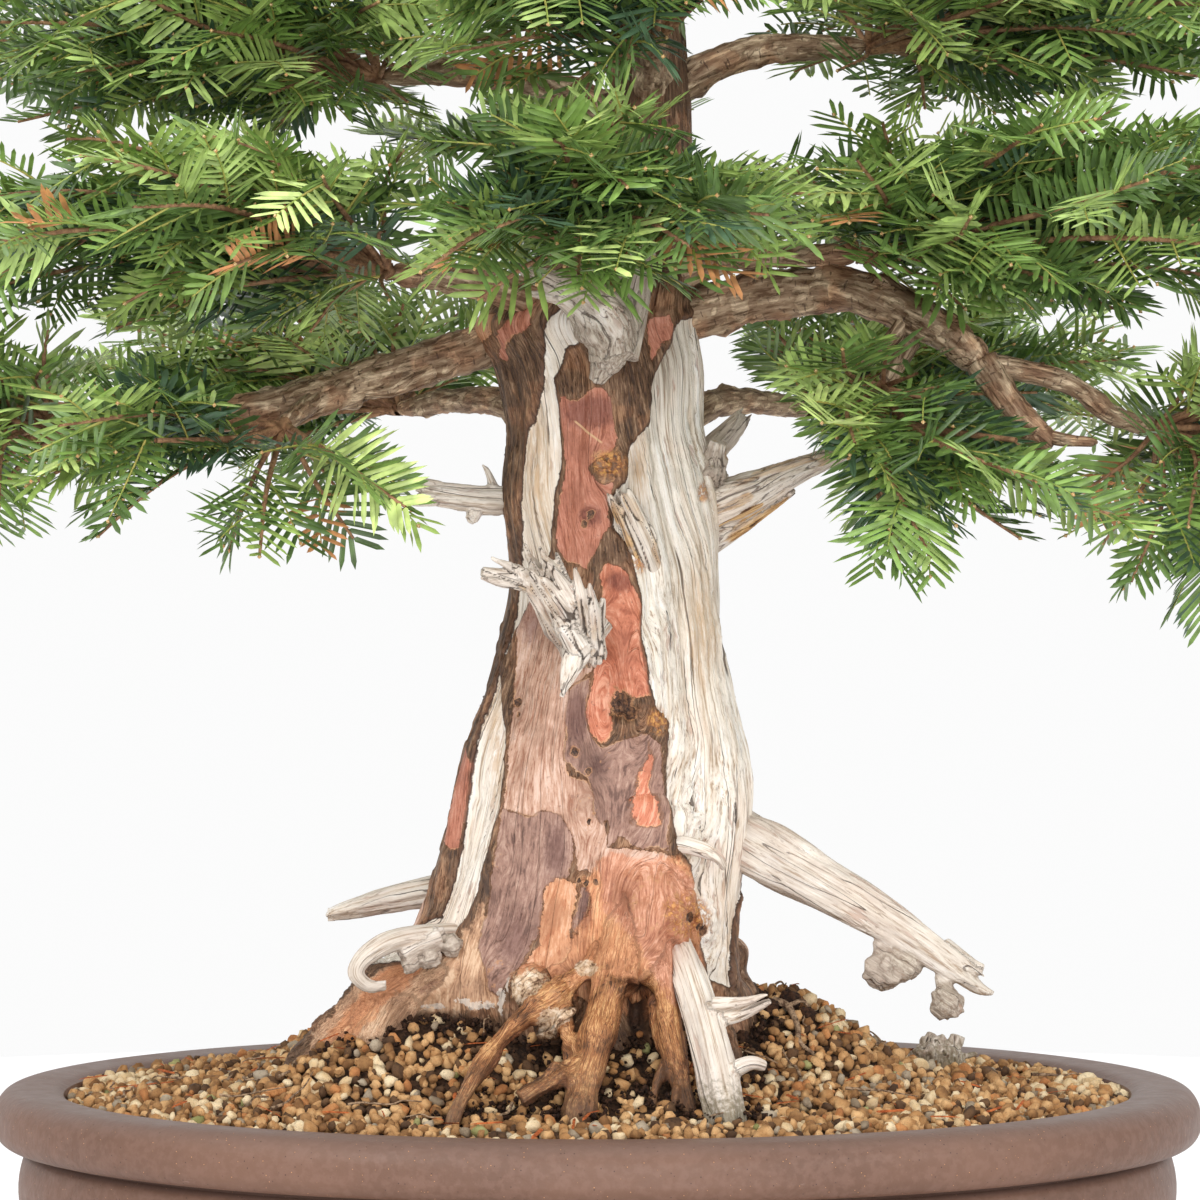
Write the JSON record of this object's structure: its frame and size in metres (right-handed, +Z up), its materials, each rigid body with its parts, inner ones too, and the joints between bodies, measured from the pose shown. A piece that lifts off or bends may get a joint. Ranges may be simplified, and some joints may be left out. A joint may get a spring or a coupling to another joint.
{
  "type": "english yew bonsai",
  "caption": "Old conifer bonsai: a broad tapering trunk with bare deadwood, spreading boughs and layered masses of flat needles, in an oval stoneware pot.",
  "frame": {"origin": "middle of the pot's flat underside, on the surface that the pot stands on", "axes": "+Z up along the trunk, +Y away from the viewer across the pot's short side, +X to the viewer's right along the pot's long side"},
  "size_m": [0.9464, 0.6117, 1.0438],
  "materials": {
    "bark": "flaking satin bark",
    "deadwood": "weathered bare wood",
    "needles": "waxy needles",
    "soil": "coarse fired clay and pumice grains",
    "stoneware": "unglazed satin stoneware"
  },
  "bodies": {
    "root": {"pot": "stoneware", "soil": "soil", "trunk": "bark", "jin_left": "deadwood", "jin_front": "deadwood", "jin_right": "deadwood", "jin_back": "deadwood", "jin_low": "deadwood", "jin_top": "deadwood", "dead_limb": "deadwood", "dead_root": "deadwood", "hook": "deadwood", "bough_left_low": "bark", "bough_left_front": "bark", "bough_left_mid": "bark", "bough_right_low": "bark", "bough_right_stub": "bark", "bough_right_out": "bark", "bough_right_front": "bark", "bough_right_mid": "bark", "bough_front_mid": "bark", "bough_back_low_left": "bark", "bough_back_low_right": "bark", "bough_back_mid": "bark", "bough_left_up": "bark", "bough_right_up": "bark", "bough_front_up": "bark", "bough_left_high": "bark", "bough_right_high": "bark", "bough_back_high": "bark", "bough_left_top": "bark", "bough_right_top": "bark", "foliage_left_low_outer": "needles", "foliage_left_low_inner": "needles", "foliage_left_mid": "needles", "foliage_right_low_outer": "needles", "foliage_right_low_inner": "needles", "foliage_right_mid": "needles", "foliage_front_mid": "needles", "foliage_back_low_left": "needles", "foliage_back_low_right": "needles", "foliage_back_mid": "needles", "foliage_left_up": "needles", "foliage_right_up": "needles", "foliage_front_up": "needles", "foliage_left_high": "needles", "foliage_right_high": "needles", "foliage_back_high": "needles", "foliage_left_top": "needles", "foliage_right_top": "needles", "foliage_apex": "needles"}
  },
  "joints": []
}
